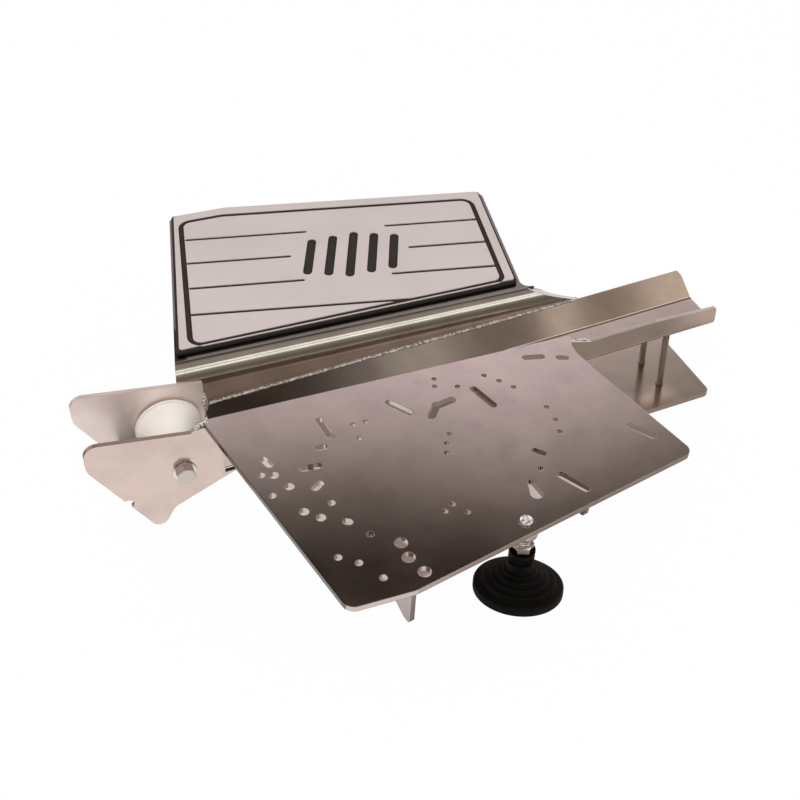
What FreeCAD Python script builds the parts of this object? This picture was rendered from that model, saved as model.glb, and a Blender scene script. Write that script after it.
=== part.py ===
import FreeCAD, Part
import math
import os
from FreeCAD import Placement, Rotation, Vector

# Trolling motor bow mount with an anchor roller, an anchor channel and a padded step.
# Millimetres. +X runs aft, +Y to the step's side, +Z up from the motor plate.
# The origin is on the motor plate's upper face, in the middle of the motor's footprint.

# Driving dimensions
PLATE_THICK = 6.0            # motor plate
SHEET = 5.0                  # channel, cheeks, ribs and step plate
CORNER_X = -210.0            # motor plate's front inboard corner, from the origin
WALL_Y = 125.0               # middle of the channel's near wall, from the origin
SWEEP = math.radians(12.0)   # both plates' side edges lean aft by this much
TAPER = math.radians(12.0)   # both plates' outboard edges close in by this much
INBOARD_LENGTH = 408.0       # motor plate along the channel
PLATE_DEPTH = 267.0          # motor plate across, at its deepest
STRAIGHT_RUN = 62.0          # outboard edge before the taper starts

CHANNEL_RISE = math.radians(4.07)    # the channel climbs aft by this much
CHANNEL_START = 18.0         # stations along the channel, from the corner
CHANNEL_END = 590.0
WALL_TOP_AFT = -42.5         # near wall's free edge, square to the channel's floor
FLOOR_BOTTOM = -73.6
FLOOR_BEND_Y = 48.0          # where the far wall leaves the floor, from the near wall
FAR_TOP_Y = 77.5
FAR_TOP_RISE = 20.5          # far wall's climb over the floor
BEND_INSIDE = 5.0            # inside radius of the channel's bends

CHEEK_SPACING = 75.0         # middle to middle of the two cheeks
AXLE_X, AXLE_Z = -23.0, -57.0
ROLLER_RIM_R = 35.0
ROLLER_WAIST_R = 21.0
ROLLER_WIDTH = 66.0
ROLLER_RIM_WIDTH = 4.0
GROOVE_RUNS = 5              # straight runs across the roller's groove
BUSH_R = 9.0
BOLT_R = 6.0                 # M12
BUSH_CLEARANCE = 0.05

STEP_FACE_Y = 77.5           # step flange's face towards the channel
STEP_BEND_R = 20.0           # outside radius of the step's bend
STEP_DEPTH_Y = 367.0         # step plate's outer edge, from the near wall
PAD_BLACK = 4.5
PAD_TOP = 1.5
PAD_INSET = 2.5

STUD_R = 4.0                 # M8
STUD_STATIONS = (424.0, 533.0)
STUD_ROWS = (5.0, 46.0)
STUD_LENGTH = 93.0
STUD_RECESS = 3.0            # each stud is let into the floor's underside by this much
CLAMP_TOP = -147.8           # clamp plate's upper face, square to the floor
CLAMP_THICK = 6.0
CLAMP_FROM, CLAMP_TO = 377.0, 580.0
CLAMP_NEAR_Y, CLAMP_FAR_Y = -30.0, 81.0

SPINDLE_X, SPINDLE_Y = 242.0, -228.0   # levelling foot, from the corner and the near wall
SPINDLE_R = 7.0              # M14
SPINDLE_TOP = 3.0
HEX_TOP, HEX_BOTTOM = -28.0, -39.5
HEX_FLATS = 18.0
BOSS_BOTTOM = -16.0
NECK_R = 5.0
NECK_END = 2.0               # over the ball's centre
BALL_Z = -56.0
BALL_R = 8.5
BALL_STEPS = 6               # straight runs in half a ball's outline
COLLAR_R = 12.4
COLLAR_TOP, COLLAR_BOTTOM = -36.5, -49.0
THREAD_CLEARANCE = 0.05
PAD_R = 43.0
PAD_LOW = -31.1              # the foot's base, from the ball's centre
PAD_RIM = 9.0                # height of the foot's rim
HUB_TOP = 3.0
PAD_STEPS = ((34.5, -17.0), (27.5, -13.5), (21.5, -9.5), (16.0, -6.0))
FOOT_NORMAL = Vector(0.1034, 0.2225, 1.0)   # the foot's base hangs a little askew on its ball

NODES = {}


def at(x, y, z=0.0):
    """A point given from the motor plate's inboard corner and the near wall's middle."""
    return Vector(CORNER_X + x, WALL_Y + y, z)


def polygon(points):
    return Part.Face(Part.makePolygon(list(points) + [points[0]]))


def rounded(points, radii, lift=Vector(0, 0, 0)):
    """A face with straight sides and its corners rounded; a radius of 0 leaves a corner sharp."""
    edges = []
    starts, ends = [], []
    count = len(points)
    for i in range(count):
        before, here, after = points[i - 1], points[i], points[(i + 1) % count]
        radius = radii[i]
        into = (here - before).normalize()
        out = (after - here).normalize()
        turn = into.getAngle(out)
        if radius <= 0 or turn < 1e-4:
            starts.append(here)
            ends.append(here)
            edges.append(None)
            continue
        reach = radius * math.tan(turn / 2)
        first, last = here - into * reach, here + out * reach
        bisector = (out - into).normalize()
        middle = here + bisector * (radius / math.cos(turn / 2) - radius)
        starts.append(first)
        ends.append(last)
        edges.append(Part.Arc(first + lift, middle + lift, last + lift).toShape())
    wire = []
    for i in range(count):
        if edges[i] is not None:
            wire.append(edges[i])
        following = starts[(i + 1) % count]
        if (following - ends[i]).Length > 1e-6:
            wire.append(Part.makeLine(ends[i] + lift, following + lift))
    return Part.Face(Part.Wire(wire))


def bent_strip(path, thick, inside):
    """Cross-section of a bent sheet in the YZ plane: its middle line with bends of one inside radius."""
    radius = inside + thick / 2
    sides = []
    for side in (1, -1):
        edges = []
        point = None
        for i in range(len(path) - 1):
            along = (path[i + 1] - path[i]).normalize()
            normal = Vector(0, -along.z, along.y) * side * thick / 2
            begin = path[i] + normal if point is None else point
            if i == len(path) - 2:
                edges.append(Part.makeLine(begin, path[i + 1] + normal))
                break
            onward = (path[i + 2] - path[i + 1]).normalize()
            turn = along.getAngle(onward)
            reach = radius * math.tan(turn / 2)
            left = along.y * onward.z - along.z * onward.y > 0
            normal_on = Vector(0, -onward.z, onward.y) * side * thick / 2
            first = path[i + 1] - along * reach + normal
            last = path[i + 1] + onward * reach + normal_on
            centre_side = Vector(0, -along.z, along.y) * (1 if left else -1)
            centre = path[i + 1] - along * reach + centre_side * radius
            outward = (path[i + 1] - centre).normalize()
            middle = centre + outward * (first - centre).Length
            edges.append(Part.makeLine(begin, first))
            edges.append(Part.Arc(first, middle, last).toShape())
            point = last
        sides.append(edges)
    ends_a = (sides[0][0].Vertexes[0].Point, sides[1][0].Vertexes[0].Point)
    ends_b = (sides[0][-1].Vertexes[-1].Point, sides[1][-1].Vertexes[-1].Point)
    caps = [Part.makeLine(ends_a[0], ends_a[1]), Part.makeLine(ends_b[0], ends_b[1])]
    return Part.Face(Part.Wire(Part.__sortEdges__(sides[0] + sides[1] + caps)))


def round_points(radius, count, turn=0.0):
    angles = [math.radians(360 * i / count + turn) for i in range(count)]
    return [Vector(radius * math.cos(angle), radius * math.sin(angle), 0) for angle in angles]


def cylinder(radius, height, base, axis=Vector(0, 0, 1)):
    return Part.makeCylinder(radius, height, base, axis)


def hexagon(across_flats, height, base, axis, turn=0.0):
    prism = polygon(round_points(across_flats / math.sqrt(3), 6, turn)).extrude(Vector(0, 0, height))
    prism.Placement = Placement(base, Rotation(Vector(0, 0, 1), axis))
    return prism


def revolve(points, axis_point=Vector(0, 0, 0), axis=Vector(0, 0, 1)):
    return polygon(points).revolve(axis_point, axis, 360)


def along_channel(shape):
    """Turns a shape made level, from the corner and the near wall, into the channel's own slope."""
    turned = shape.copy()
    turned.rotate(Vector(0, 0, 0), Vector(0, 1, 0), -math.degrees(CHANNEL_RISE))
    turned.translate(at(0, 0, 0))
    return turned


def group(shapes):
    return Part.makeCompound(shapes)


def add(name, shape):
    NODES[name] = shape


# Channel and cheeks

def channel_profile():
    """The bent sheet: upright near wall, flat floor and a leaning far wall."""
    half = SHEET / 2
    floor_mid = FLOOR_BOTTOM + half
    lean = math.atan2(FAR_TOP_RISE, FAR_TOP_Y - FLOOR_BEND_Y)
    shift = half * math.tan(lean / 2)
    bend = Vector(0, FLOOR_BEND_Y + shift, floor_mid)
    past = 12.0
    far_end = bend + Vector(0, math.cos(lean), math.sin(lean)) * (
        (FAR_TOP_Y - bend.y) / math.cos(lean) + past)
    return [Vector(0, 0, 20.0), Vector(0, 0, floor_mid), bend, far_end]


def channel():
    section = bent_strip(channel_profile(), SHEET, BEND_INSIDE)
    body = section.extrude(Vector(CHANNEL_END, 0, 0))
    beyond = Part.makeBox(900, 60, 200, Vector(-100, FAR_TOP_Y, -150))
    body = body.cut(beyond)
    # the near wall's free edge, aft of the motor plate, with a rounded end
    cut_from = INBOARD_LENGTH - 5.0
    crest = rounded(
        [Vector(cut_from - 4, 0, 40), Vector(cut_from - 4, 0, -33.0), Vector(cut_from, 0, -34.0),
         Vector(cut_from + 26, 0, WALL_TOP_AFT), Vector(CHANNEL_END + 5, 0, WALL_TOP_AFT),
         Vector(CHANNEL_END + 5, 0, 40)],
        [0, 0, 8, 14, 0, 0])
    crest.translate(Vector(0, -20, 0))
    body = body.cut(crest.extrude(Vector(0, 40, 0)))
    for y_from, y_to, top, radius in ((-20, 20, WALL_TOP_AFT, 9.0), (60, 100, -47.5, 7.0)):
        notch = Part.makeBox(radius, y_to - y_from, radius,
                             Vector(CHANNEL_END - radius, y_from, top - radius))
        round_off = cylinder(radius, y_to - y_from,
                             Vector(CHANNEL_END - radius, y_from, top - radius), Vector(0, 1, 0))
        notch = notch.cut(round_off)
        body = body.cut(notch)
    for station in STUD_STATIONS:
        for y in STUD_ROWS:
            body = body.cut(cylinder(STUD_R, STUD_RECESS, Vector(station, y, FLOOR_BOTTOM)))
    body = along_channel(body)
    # the motor plate sits on the near wall, and the cheeks meet both walls at their front ends
    above = Part.makeBox(1000, 60, 100, at(-200, -30, -PLATE_THICK))
    ahead = Part.makeBox(100, 200, 200, at(CHANNEL_START - 100, -50, -150))
    return body.cut([above, ahead])


def cheek_face(near):
    """Side view of a cheek in the XZ plane, nose to the left."""
    floor_at = FLOOR_BOTTOM / math.cos(CHANNEL_RISE)
    slope = math.tan(CHANNEL_RISE)
    start = CHANNEL_START
    heel = 32.0
    points = [Vector(-117, 0, 3.4), Vector(-12, 0, -9.5)]
    radii = [13.0, 0]
    if near:
        points[1] = Vector(-13, 0, -9.5)
        points += [Vector(-8, 0, -PLATE_THICK), Vector(start, 0, -PLATE_THICK)]
        radii[1] = 3.0
        radii += [0, 0]
    else:
        points[1] = Vector(start, 0, -13.2)
    points += [Vector(start, 0, floor_at + slope * start), Vector(heel, 0, floor_at + slope * heel),
               Vector(-37, 0, -104), Vector(-53.5, 0, -132.5), Vector(-117, 0, -28)]
    radii += [0, 0, 12.0, 9.0, 22.0]
    return rounded(points, radii)


def cheek(near):
    middle = 0.0 if near else CHEEK_SPACING
    face = cheek_face(near)
    face.translate(at(0, middle - SHEET / 2, 0))
    plate = face.extrude(Vector(0, SHEET, 0))
    hole = cylinder(BOLT_R + 0.5, SHEET + 2, at(AXLE_X, middle - SHEET / 2 - 1, AXLE_Z), Vector(0, 1, 0))
    plate = plate.cut(hole)
    relief = cylinder(5.5, SHEET + 2, at(-82.5, middle - SHEET / 2 - 1, -84.5), Vector(0, 1, 0))
    return plate.cut(relief)


def cross_plate():
    """Guard plate between the cheeks, ahead of and under the roller."""
    upper, lower = Vector(-72.7, 0, -65.7), Vector(-42.3, 0, -97.1)
    along = (lower - upper).normalize()
    normal = Vector(along.z, 0, -along.x)
    if normal.x > 0:
        normal = normal * -1
    thick = 4.0
    face = rounded([upper, lower, lower + normal * thick, upper + normal * thick], [0, 0, 0, 0])
    face.translate(at(0, SHEET / 2, 0))
    return face.extrude(Vector(0, CHEEK_SPACING - SHEET, 0))


# Roller

def on_axle(shape, y):
    moved = shape.copy()
    moved.rotate(Vector(0, 0, 0), Vector(1, 0, 0), -90)
    moved.translate(at(AXLE_X, y, AXLE_Z))
    return moved


def roller():
    """Waisted roller: two rims with a groove of straight runs between them, bored for its bush."""
    half = ROLLER_WIDTH / 2
    groove = half - ROLLER_RIM_WIDTH
    outline = [Vector(BUSH_R, 0, -half), Vector(ROLLER_RIM_R, 0, -half), Vector(ROLLER_RIM_R, 0, -groove)]
    for k in range(1, GROOVE_RUNS):
        along = -1 + 2 * k / GROOVE_RUNS
        radius = ROLLER_WAIST_R + (ROLLER_RIM_R - 1.0 - ROLLER_WAIST_R) * abs(along) ** 1.7
        outline.append(Vector(radius, 0, along * groove))
    outline += [Vector(ROLLER_RIM_R, 0, groove), Vector(ROLLER_RIM_R, 0, half), Vector(BUSH_R, 0, half)]
    return on_axle(revolve(outline), CHEEK_SPACING / 2)


def roller_bush():
    half = ROLLER_WIDTH / 2 + 0.2
    tube = cylinder(BUSH_R, 2 * half, Vector(0, 0, -half)).cut(
        cylinder(BOLT_R + BUSH_CLEARANCE, 2 * half, Vector(0, 0, -half)))
    return on_axle(tube, CHEEK_SPACING / 2)


def roller_bolt():
    """M12 hexagon bolt through both cheeks."""
    head = hexagon(18.0, 7.5, Vector(0, 0, -7.5), Vector(0, 0, 1), 12.0)
    head_y = -SHEET / 2 - 2.0
    length = CHEEK_SPACING + SHEET + 2.0 + 2.0 + 14.0
    shank = cylinder(BOLT_R, length, Vector(0, 0, 0))
    return on_axle(head.fuse(shank).removeSplitter(), head_y)


def washer(outer, inner, thick):
    """A flat ring with few sides, as washers repeat; its hole is never narrower than the given radius."""
    sides = 24
    hole = polygon(round_points(inner / math.cos(math.pi / sides), sides))
    return polygon(round_points(outer, sides)).cut(hole).extrude(Vector(0, 0, thick))


def ring(outer, inner, thick, y):
    return on_axle(washer(outer, inner, thick), y)


def roller_washers():
    near = ring(12.0, BOLT_R + 0.3, 2.0, -SHEET / 2 - 2.0)
    far = ring(12.0, BOLT_R + 0.3, 2.0, CHEEK_SPACING + SHEET / 2)
    return group([near, far])


def roller_side_washers():
    gap = (CHEEK_SPACING - SHEET - ROLLER_WIDTH) / 2
    thick = gap - 0.4
    near = ring(14.0, BOLT_R + 0.3, thick, SHEET / 2)
    far = ring(14.0, BOLT_R + 0.3, thick, CHEEK_SPACING - SHEET / 2 - thick)
    return group([near, far])


def roller_nut():
    body = hexagon(18.0, 8.0, Vector(0, 0, 0), Vector(0, 0, 1), 20.0)
    collar = cylinder(8.2, 3.5, Vector(0, 0, 8.0))
    nut = body.fuse(collar).cut(cylinder(BOLT_R, 20, Vector(0, 0, -1)))
    return on_axle(nut.removeSplitter(), CHEEK_SPACING + SHEET / 2 + 2.0)


# Motor plate. Places are measured aft from its inboard corner, then outboard from the near wall's middle.

ROUND_HOLES = {
    12.0: ((126, 213), (126, 231), (133, 251)),
    5.5: ((330, 94), (330, 114)),
}
SMALL_HOLES = {
    7.0: ((34, 90), (36, 119), (84, 146), (104, 194), (68, 210), (83, 222), (97, 245)),
    9.0: ((45, 94), (54, 113), (57, 148), (69, 160)),
    5.5: ((138, 53), (137, 73), (151, 53), (240, 16), (236, 27), (258, 35), (291, 28), (302, 41),
          (312, 55), (222, 98), (214, 109), (209, 121), (188, 185), (178, 191), (197, 199),
          (326, 131), (285, 171)),
}
SLOTS = {
    7.5: (((41, 67), (46, 83)), ((85, 117), (73, 125)), ((341, 15), (365, 21)), ((86, 170), (94, 176))),
    8.0: (((69, 95), (92, 96)), ((395, 144), (412, 171)), ((109, 32), (113, 67)), ((181, 31), (200, 59)),
          ((271, 40), (282, 77)), ((297, 181), (315, 213))),
    7.0: (((92, 73), (105, 74)), ((375, 26), (388, 32)), ((288, 144), (299, 156))),
}
CURVED_SLOT = (((213, 71), (230, 50)), ((224, 56), (249, 51)))
TEARDROP = ((268, 181), (266, 206), 5.0, 12.0)


def plate_point(aft, outboard, z=0.0):
    return at(aft, -outboard, z)


def small_hole(aft, outboard, radius):
    """A small screw hole, with few sides."""
    hole = polygon(round_points(radius / math.cos(math.pi / 16), 16)).extrude(Vector(0, 0, PLATE_THICK + 2))
    hole.translate(plate_point(aft, outboard, -PLATE_THICK - 1))
    return hole


def slot(begin, end, width, end_width=None):
    """A slot through the motor plate with blunt round ends, measured over its ends; it may taper."""
    first, last = plate_point(*begin), plate_point(*end)
    along = (last - first).normalize()
    side = Vector(-along.y, along.x, 0)
    outline = []
    for point, outward, sign, half in ((last, along, 1, (end_width or width) / 2), (first, along * -1, -1, width / 2)):
        centre = point - outward * half
        for k in range(7):
            angle = math.radians(90 - 30 * k)
            outline.append(centre + outward * (half * math.cos(angle)) + side * (sign * half * math.sin(angle)))
    cutter = polygon(outline).extrude(Vector(0, 0, PLATE_THICK + 2))
    cutter.translate(Vector(0, 0, -PLATE_THICK - 1))
    return cutter


def motor_plate_outline():
    depth = PLATE_DEPTH
    edge = -SHEET / 2
    front_x = depth * math.tan(SWEEP)
    knee_x = front_x + STRAIGHT_RUN
    aft_x = 436.5
    aft_y = depth + 1.0 - (aft_x - knee_x) * math.tan(TAPER)
    tab = INBOARD_LENGTH
    points = [(0, edge), (tab, edge), (tab - 7, 13), (tab - 8, 27), (tab - 3, 57), (aft_x, aft_y),
              (knee_x, depth + 1), (front_x, depth)]
    radii = [4, 3, 5, 12, 30, 10, 25, 12]
    return rounded([plate_point(x, y) for x, y in points], radii, Vector(0, 0, -PLATE_THICK))


def motor_plate():
    plate = motor_plate_outline().extrude(Vector(0, 0, PLATE_THICK))
    cutters = []
    for diameter, places in ROUND_HOLES.items():
        for place in places:
            cutters.append(cylinder(diameter / 2, PLATE_THICK + 2, plate_point(*place, -PLATE_THICK - 1)))
    for diameter, places in SMALL_HOLES.items():
        for place in places:
            cutters.append(small_hole(*place, diameter / 2))
    for width, pairs in SLOTS.items():
        for begin, end in pairs:
            cutters.append(slot(begin, end, width))
    for begin, end in CURVED_SLOT:
        cutters.append(slot(begin, end, 9.0))
    cutters.append(slot(*TEARDROP))
    cutters.append(cylinder(SPINDLE_R + 0.5, PLATE_THICK + 2, at(SPINDLE_X, SPINDLE_Y, -PLATE_THICK - 1)))
    return plate.cut(cutters)


def rib(inner_x, outer_y, depth, lug_depth, lug_run):
    """Flat bar on edge under the motor plate, from the channel's near wall out, ending in a deeper lug."""
    inner_y = -SHEET / 2
    run = Vector(math.sin(SWEEP), -math.cos(SWEEP), 0)
    length = (inner_y - outer_y) / math.cos(SWEEP)
    low = -PLATE_THICK
    points = [Vector(0, 0, low), Vector(length, 0, low), Vector(length - 1.0, 0, low - lug_depth),
              Vector(length - 10, 0, low - lug_depth), Vector(length - 10 - lug_run, 0, low - depth),
              Vector(0, 0, low - depth)]
    face = rounded(points, [0, 0, 4.0, 4.0, 12.0, 0])
    bar = face.extrude(Vector(0, SHEET, 0))
    bar.rotate(Vector(0, 0, 0), Vector(0, 0, 1), math.degrees(math.atan2(run.y, run.x)))
    bar.translate(at(inner_x, inner_y, 0))
    wall = Part.makeBox(200, 40, 120, at(inner_x - 100, inner_y, -PLATE_THICK - 110))
    return bar.cut(wall)


# Step

def step_plate():
    """Flat step with a long rolled bend down to the flange that is welded to the channel."""
    half = SHEET / 2
    bend_y = STEP_FACE_Y + half
    deep = -75.0
    section = bent_strip([Vector(0, bend_y, deep), Vector(0, bend_y, -half), Vector(0, STEP_DEPTH_Y + 30, -half)],
                         SHEET, STEP_BEND_R - SHEET)
    section.translate(Vector(-60, 0, 0))
    sheet = section.extrude(Vector(560, 0, 0))
    sheet.translate(at(0, 0, 0))
    lean = math.tan(SWEEP)
    front = -2.5 - 104.0 * lean
    aft = 397.0 - 110.0 * lean
    knee = front + STEP_DEPTH_Y * lean + STRAIGHT_RUN
    aft_corner_y = STEP_DEPTH_Y - (435.0 - knee) * math.tan(TAPER)
    bend_line = STEP_FACE_Y + STEP_BEND_R
    outline = rounded(
        [at(front + 60 * lean, 60), at(470, 60), at(470, STEP_FACE_Y + 3), at(aft + bend_line * lean + 3, bend_line + 4),
         at(436.5, aft_corner_y), at(knee, STEP_DEPTH_Y), at(front + STEP_DEPTH_Y * lean, STEP_DEPTH_Y)],
        [0, 0, 0, 10, 8, 25, 8], Vector(0, 0, -110))
    sheet = sheet.common(outline.extrude(Vector(0, 0, 130)))
    # the flange ends where the channel's far wall is welded on, and tapers out aft
    under = Part.makeBox(900, 200, 100, Vector(-150, 30, FLOOR_BOTTOM + FAR_TOP_RISE - 96.5))
    sheet = sheet.cut(along_channel(under))
    tail = polygon([Vector(398, 0, 6), Vector(402, 0, 0), Vector(458, 0, -17), Vector(480, 0, -17), Vector(480, 0, 6)])
    tail.translate(at(0, STEP_FACE_Y - 5, 0))
    return sheet.cut(tail.extrude(Vector(0, 25, 0)))


def pad_outline(inset, base):
    lean = math.tan(SWEEP)
    inboard = 107.0 + inset
    outer = STEP_DEPTH_Y - PAD_INSET - inset
    front = -104.0 * lean + inset
    aft = 394.5 - 110.0 * lean - inset
    knee = front + outer * lean + STRAIGHT_RUN
    aft_x = 431.5 - inset
    aft_y = outer - (aft_x - knee) * math.tan(TAPER)
    points = [at(front + inboard * lean, inboard), at(aft + inboard * lean, inboard), at(aft_x, aft_y),
              at(knee, outer), at(front + outer * lean, outer)]
    return rounded(points, [3, 3, 5, 25, 5], Vector(0, 0, base))


def pad_base():
    return pad_outline(0.0, 0.0).extrude(Vector(0, 0, PAD_BLACK))


def pad_top():
    return pad_outline(3.0, PAD_BLACK).extrude(Vector(0, 0, PAD_TOP))


# Welds

def flange_weld():
    """Fillet between the channel's far wall and the step's flange."""
    size = 4.0
    lean = math.atan2(FAR_TOP_RISE, FAR_TOP_Y - FLOOR_BEND_Y)
    corner = Vector(CHANNEL_START, FAR_TOP_Y, FLOOR_BOTTOM + SHEET + FAR_TOP_RISE)
    down = corner - Vector(0, math.cos(lean), math.sin(lean)) * size
    up = corner + Vector(0, 0, size)
    bead = Part.Face(Part.Wire([Part.makeLine(corner, down),
                                Part.Arc(down, (down + up) * 0.5 + Vector(0, -0.8, 0.8), up).toShape(),
                                Part.makeLine(up, corner)]))
    return along_channel(bead.extrude(Vector(452.0 - CHANNEL_START, 0, 0)))


# Anchor clamp under the channel

def clamp_studs():
    """Four weld studs hanging from the channel's floor."""
    studs = []
    for station in STUD_STATIONS:
        for y in STUD_ROWS:
            foot = Vector(station, y, FLOOR_BOTTOM - STUD_LENGTH)
            studs.append(along_channel(cylinder(STUD_R, STUD_LENGTH + STUD_RECESS, foot)))
    return group(studs)


def clamp_plate():
    corners = [(CLAMP_FROM, CLAMP_NEAR_Y), (CLAMP_TO, CLAMP_NEAR_Y), (CLAMP_TO, CLAMP_FAR_Y), (CLAMP_FROM, CLAMP_FAR_Y)]
    base = CLAMP_TOP - CLAMP_THICK
    face = rounded([Vector(x, y, 0) for x, y in corners], [8, 8, 8, 8], Vector(0, 0, base))
    plate = face.extrude(Vector(0, 0, CLAMP_THICK))
    for station in STUD_STATIONS:
        for y in STUD_ROWS:
            plate = plate.cut(cylinder(STUD_R + 0.5, CLAMP_THICK + 2, Vector(station, y, base - 1)))
    return along_channel(plate)


def clamp_washers():
    top = CLAMP_TOP - CLAMP_THICK
    washers = []
    for station in STUD_STATIONS:
        for y in STUD_ROWS:
            flat = washer(8.0, STUD_R + 0.3, 1.6)
            flat.translate(Vector(station, y, top - 1.6))
            washers.append(along_channel(flat))
    return group(washers)


def clamp_nut(station, y):
    top = CLAMP_TOP - CLAMP_THICK - 1.6
    nut = hexagon(13.0, 6.5, Vector(0, 0, 0), Vector(0, 0, 1), 15.0)
    nut.translate(Vector(station, y, top - 6.5))
    return along_channel(nut.cut(cylinder(STUD_R + THREAD_CLEARANCE, 10, Vector(station, y, top - 8))))


# Levelling foot

def foot_axis(z):
    return at(SPINDLE_X, SPINDLE_Y, z)


def tilted(shape):
    """Lays a shape made level about the ball's centre onto the foot's askew base."""
    moved = shape.copy()
    moved.Placement = Placement(foot_axis(BALL_Z), Rotation(Vector(0, 0, 1), FOOT_NORMAL))
    return moved


def foot_boss():
    """Threaded bush welded under the motor plate."""
    bush = cylinder(12.0, -PLATE_THICK - BOSS_BOTTOM, foot_axis(BOSS_BOTTOM))
    return bush.cut(cylinder(SPINDLE_R + THREAD_CLEARANCE, 60, foot_axis(BOSS_BOTTOM - 5)))


def foot_spindle():
    """Threaded spindle with a hexagon for a wrench at its lower end, and a neck below."""
    shank = cylinder(SPINDLE_R, SPINDLE_TOP - HEX_TOP, foot_axis(HEX_TOP))
    head = hexagon(HEX_FLATS, HEX_TOP - HEX_BOTTOM, foot_axis(HEX_BOTTOM), Vector(0, 0, 1), 8.0)
    neck = cylinder(NECK_R, HEX_BOTTOM - BALL_Z - NECK_END, foot_axis(BALL_Z + NECK_END))
    return shank.fuse([head, neck]).removeSplitter()


def ball_outline(radius):
    """Half a ball's side view as short straight runs."""
    points = []
    for k in range(BALL_STEPS + 1):
        angle = math.pi * k / BALL_STEPS
        points.append(Vector(radius * math.sin(angle), 0, -radius * math.cos(angle)))
    return points


def socket_radius():
    """The socket's runs are set so far out that the ball's corners pass them at every tilt."""
    return (BALL_R + THREAD_CLEARANCE) / math.cos(math.pi / (2 * BALL_STEPS))


def foot_ball():
    """Ball that the spindle's neck turns in and the foot swivels on."""
    ball = revolve(ball_outline(BALL_R))
    ball.translate(foot_axis(BALL_Z))
    return ball.cut(cylinder(NECK_R + THREAD_CLEARANCE, 20, foot_axis(BALL_Z + NECK_END - 0.1)))


def foot_collar():
    """Cup on the ball, open at the top round the spindle's hexagon."""
    outline = [Vector(NECK_R + 1.0, 0, COLLAR_BOTTOM), Vector(COLLAR_R, 0, COLLAR_BOTTOM),
               Vector(COLLAR_R, 0, COLLAR_TOP), Vector(COLLAR_R - 1.4, 0, COLLAR_TOP),
               Vector(COLLAR_R - 1.4, 0, HEX_BOTTOM - 1.0), Vector(NECK_R + 1.0, 0, HEX_BOTTOM - 1.0)]
    cup = revolve(outline)
    cup.translate(foot_axis(0))
    ball = revolve(ball_outline(BALL_R))
    ball.translate(foot_axis(BALL_Z))
    return cup.cut(ball)


def foot_pad():
    """Round foot, stepped in rings from its hub down to its rim, with a shallow hollow below."""
    low = PAD_LOW
    level = low + PAD_RIM
    outline = [Vector(0, 0, low + 4.0), Vector(36.0, 0, low + 4.0), Vector(36.0, 0, low), Vector(PAD_R, 0, low),
               Vector(PAD_R, 0, level)]
    for radius, height in PAD_STEPS:
        outline += [Vector(radius, 0, level), Vector(radius, 0, height)]
        level = height
    outline += [Vector(COLLAR_R, 0, level), Vector(COLLAR_R, 0, HUB_TOP), Vector(0, 0, HUB_TOP)]
    pad = revolve(outline)
    pad = pad.cut(revolve(ball_outline(socket_radius())))
    return tilted(pad)


def build():
    add("channel", channel())
    add("near_cheek", cheek(True))
    add("far_cheek", cheek(False))
    add("cross_plate", cross_plate())
    add("roller", roller())
    add("roller_bush", roller_bush())
    add("roller_bolt", roller_bolt())
    add("roller_washers", roller_washers())
    add("roller_side_washers", roller_side_washers())
    add("roller_nut", roller_nut())
    add("motor_plate", motor_plate())
    add("front_rib", rib(60.0, -264.5, 22.0, 43.5, 36.0))
    add("aft_rib", rib(256.0, -227.5, 22.0, 12.0, 20.0))
    add("step_plate", step_plate())
    add("pad_base", pad_base())
    add("pad_top", pad_top())
    add("flange_weld", flange_weld())

    add("clamp_studs", clamp_studs())
    add("clamp_plate", clamp_plate())
    add("clamp_washers", clamp_washers())
    number = 1
    for station in STUD_STATIONS:
        for y in STUD_ROWS:
            add("clamp_nut_%d" % number, clamp_nut(station, y))
            number += 1
    add("foot_boss", foot_boss())
    add("foot_spindle", foot_spindle())
    add("foot_ball", foot_ball())
    add("foot_collar", foot_collar())
    add("foot_pad", foot_pad())


build()
os.makedirs("parts", exist_ok=True)
for name, shape in NODES.items():
    if not shape.isValid():
        raise ValueError(name + " is not a valid shape")
    shape.exportStep("parts/" + name + ".step")
    print(name, len(shape.Solids), round(shape.Volume))
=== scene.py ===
import math

import bmesh
import bpy
from mathutils import Matrix, Vector


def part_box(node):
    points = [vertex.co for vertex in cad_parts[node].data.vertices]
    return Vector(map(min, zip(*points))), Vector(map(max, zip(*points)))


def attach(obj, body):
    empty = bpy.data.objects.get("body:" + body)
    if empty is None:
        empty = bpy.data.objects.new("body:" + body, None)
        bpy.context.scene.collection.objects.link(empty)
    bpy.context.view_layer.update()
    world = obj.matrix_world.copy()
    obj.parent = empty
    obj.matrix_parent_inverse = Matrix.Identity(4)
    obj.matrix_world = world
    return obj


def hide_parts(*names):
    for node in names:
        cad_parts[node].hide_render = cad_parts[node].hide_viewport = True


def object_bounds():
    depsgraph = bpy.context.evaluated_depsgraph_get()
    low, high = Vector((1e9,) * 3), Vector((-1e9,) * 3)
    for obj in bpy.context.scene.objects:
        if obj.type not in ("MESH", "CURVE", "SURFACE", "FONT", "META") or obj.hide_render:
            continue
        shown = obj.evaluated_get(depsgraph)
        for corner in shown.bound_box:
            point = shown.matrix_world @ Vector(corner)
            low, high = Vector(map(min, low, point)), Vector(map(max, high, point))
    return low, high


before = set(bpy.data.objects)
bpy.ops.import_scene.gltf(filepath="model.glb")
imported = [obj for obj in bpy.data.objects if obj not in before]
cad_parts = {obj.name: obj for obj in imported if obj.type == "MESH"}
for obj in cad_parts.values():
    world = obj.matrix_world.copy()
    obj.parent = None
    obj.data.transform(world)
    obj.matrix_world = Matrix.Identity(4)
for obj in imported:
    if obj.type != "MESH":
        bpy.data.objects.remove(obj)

CAD_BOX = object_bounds()

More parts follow.
